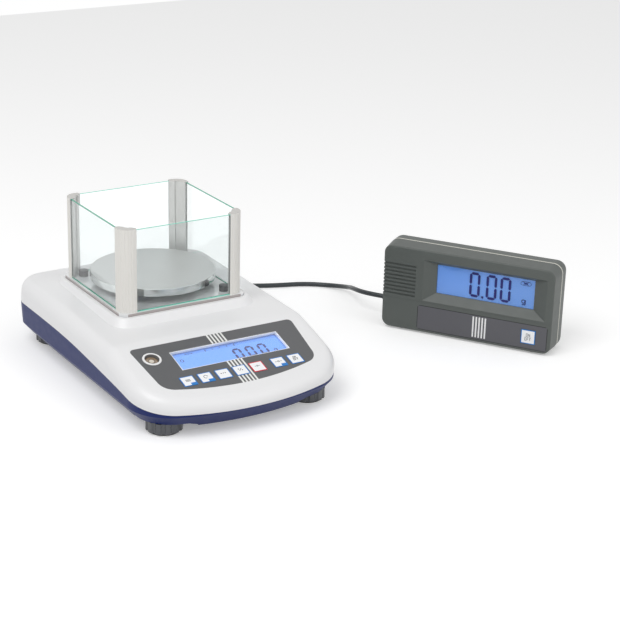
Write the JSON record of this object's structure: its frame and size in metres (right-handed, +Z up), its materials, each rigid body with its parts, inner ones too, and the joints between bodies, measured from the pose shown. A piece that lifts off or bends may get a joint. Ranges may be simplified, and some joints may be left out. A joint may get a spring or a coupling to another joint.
{
  "type": "compact balance",
  "caption": "Compact precision balance with a glass draught shield, a round steel weighing plate, a sloping control panel and a second display on a cord.",
  "frame": {"origin": "on the table, under the middle of the footprint of the balance and its second display", "axes": "+X to the right of someone who reads the control panel, +Y from the panel to the rear, +Z up"},
  "size_m": [0.4736, 0.4065, 0.1536],
  "materials": {
    "white_plastic": "satin white",
    "blue_plastic": "satin blue",
    "grey_foil": "fine matt foil",
    "clear_plastic": "clear",
    "screen_blue": "lit display",
    "circuit_board": "solder mask",
    "key_white": "smooth",
    "level_white": "smooth",
    "level_glass": "clear",
    "post_white": "coated extrusion",
    "pane_glass": "clear float glass",
    "knob_dark": "matt",
    "plate_steel": "brushed top, polished rim",
    "cast_aluminium": "machined",
    "soft_rubber": "matt",
    "screw_steel": "plated",
    "socket_black": "matt",
    "foot_grey": "matt",
    "sole_rubber": "matt",
    "display_grey": "fine texture",
    "seam_cream": "matt"
  },
  "bodies": {
    "balance": {"base_housing": "blue_plastic", "board_screws": "screw_steel", "control_board": "circuit_board", "control_foil": "grey_foil", "cord_gland": "soft_rubber", "cord_plug": "soft_rubber", "display_board": "circuit_board", "display_cord": "soft_rubber", "display_feet": "soft_rubber", "display_foil": "grey_foil", "display_front": "display_grey", "display_gasket": "seam_cream", "display_lcd": "screen_blue", "display_rear": "display_grey", "display_screws": "screw_steel", "display_socket": "socket_black", "display_window": "clear_plastic", "glass_front": "pane_glass", "glass_left": "pane_glass", "glass_rear": "pane_glass", "glass_right": "pane_glass", "hook_cap": "knob_dark", "housing_screws": "screw_steel", "lcd_panel": "screen_blue", "lcd_window": "clear_plastic", "level_cup": "level_white", "level_vial": "level_glass", "load_cell": "cast_aluminium", "load_cell_mount": "cast_aluminium", "load_cell_screws": "screw_steel", "main_board": "circuit_board", "post_front_left": "post_white", "post_front_right": "post_white", "post_rear_left": "post_white", "post_rear_right": "post_white", "power_jack": "socket_black", "shield_base_plate": "clear_plastic", "shield_knobs": "knob_dark", "top_cover": "white_plastic"},
    "carrier": {"pan_carrier": "cast_aluminium", "pan_buffers": "soft_rubber", "carrier_screws": "screw_steel"},
    "plate": {"pan": "plate_steel"},
    "display_key": {"display_key": "key_white"},
    "key_print": {"key_print": "key_white"},
    "key_mode": {"key_mode": "key_white"},
    "key_count": {"key_count": "key_white"},
    "key_percent": {"key_percent": "key_white"},
    "key_tare": {"key_tare": "key_white"},
    "key_zero": {"key_zero": "key_white"},
    "key_power": {"key_power": "key_white"},
    "sole_front_left": {"foot_sole_front_left": "sole_rubber"},
    "knob_front_left": {"foot_knob_front_left": "foot_grey"},
    "sole_rear_left": {"foot_sole_rear_left": "sole_rubber"},
    "knob_rear_left": {"foot_knob_rear_left": "foot_grey"},
    "sole_front_right": {"foot_sole_front_right": "sole_rubber"},
    "knob_front_right": {"foot_knob_front_right": "foot_grey"},
    "sole_rear_right": {"foot_sole_rear_right": "sole_rubber"},
    "knob_rear_right": {"foot_knob_rear_right": "foot_grey"}
  },
  "joints": [
    {"name": "platform_flex", "type": "slide", "parent": "balance", "child": "carrier", "axis": [0, 0, 1], "range_m": [-0.0004, 0], "stiffness_N_per_m": 20000, "springref_m": 0.00017, "deforming": ["load_cell"]},
    {"name": "pan_lift", "type": "slide", "parent": "carrier", "child": "plate", "axis": [0, 0, 1], "range_m": [0, 0.1]},
    {"name": "press_print", "type": "slide", "parent": "balance", "child": "key_print", "axis": [0, -0.2773, 0.9608], "range_m": [-0.0003, 0], "stiffness_N_per_m": 500, "springref_m": 0.0002},
    {"name": "press_mode", "type": "slide", "parent": "balance", "child": "key_mode", "axis": [0, -0.2773, 0.9608], "range_m": [-0.0003, 0], "stiffness_N_per_m": 500, "springref_m": 0.0002},
    {"name": "press_count", "type": "slide", "parent": "balance", "child": "key_count", "axis": [0, -0.2773, 0.9608], "range_m": [-0.0003, 0], "stiffness_N_per_m": 500, "springref_m": 0.0002},
    {"name": "press_percent", "type": "slide", "parent": "balance", "child": "key_percent", "axis": [0, -0.2773, 0.9608], "range_m": [-0.0003, 0], "stiffness_N_per_m": 500, "springref_m": 0.0002},
    {"name": "press_tare", "type": "slide", "parent": "balance", "child": "key_tare", "axis": [0, -0.2773, 0.9608], "range_m": [-0.0003, 0], "stiffness_N_per_m": 500, "springref_m": 0.0002},
    {"name": "press_zero", "type": "slide", "parent": "balance", "child": "key_zero", "axis": [0, -0.2773, 0.9608], "range_m": [-0.0003, 0], "stiffness_N_per_m": 500, "springref_m": 0.0002},
    {"name": "press_power", "type": "slide", "parent": "balance", "child": "key_power", "axis": [0, -0.2773, 0.9608], "range_m": [-0.0003, 0], "stiffness_N_per_m": 500, "springref_m": 0.0002},
    {"name": "press_display", "type": "slide", "parent": "balance", "child": "display_key", "axis": [-0.83, -0.5577, 0], "range_m": [-0.0003, 0], "stiffness_N_per_m": 500, "springref_m": 0.0002},
    {"name": "foot_lift_front_left", "type": "slide", "parent": "balance", "child": "sole_front_left", "axis": [0, 0, 1], "range_m": [-0.004, 0]},
    {"name": "foot_turn_front_left", "type": "hinge", "parent": "sole_front_left", "child": "knob_front_left", "pos_m": [-0.20649, -0.1155, 0], "axis": [0, 0, 1], "range_deg": [-1152, 0]},
    {"name": "foot_lift_rear_left", "type": "slide", "parent": "balance", "child": "sole_rear_left", "axis": [0, 0, 1], "range_m": [-0.004, 0]},
    {"name": "foot_turn_rear_left", "type": "hinge", "parent": "sole_rear_left", "child": "knob_rear_left", "pos_m": [-0.20649, 0.1268, 0], "axis": [0, 0, 1], "range_deg": [-1152, 0]},
    {"name": "foot_lift_front_right", "type": "slide", "parent": "balance", "child": "sole_front_right", "axis": [0, 0, 1], "range_m": [-0.004, 0]},
    {"name": "foot_turn_front_right", "type": "hinge", "parent": "sole_front_right", "child": "knob_front_right", "pos_m": [-0.05729, -0.1155, 0], "axis": [0, 0, 1], "range_deg": [-1152, 0]},
    {"name": "foot_lift_rear_right", "type": "slide", "parent": "balance", "child": "sole_rear_right", "axis": [0, 0, 1], "range_m": [-0.004, 0]},
    {"name": "foot_turn_rear_right", "type": "hinge", "parent": "sole_rear_right", "child": "knob_rear_right", "pos_m": [-0.05729, 0.1268, 0], "axis": [0, 0, 1], "range_deg": [-1152, 0]}
  ],
  "couplings": [
    {"joint": "foot_lift_front_left", "follows": "foot_turn_front_left", "m_per_rad": 0.00019894},
    {"joint": "foot_lift_rear_left", "follows": "foot_turn_rear_left", "m_per_rad": 0.00019894},
    {"joint": "foot_lift_front_right", "follows": "foot_turn_front_right", "m_per_rad": 0.00019894},
    {"joint": "foot_lift_rear_right", "follows": "foot_turn_rear_right", "m_per_rad": 0.00019894}
  ]
}
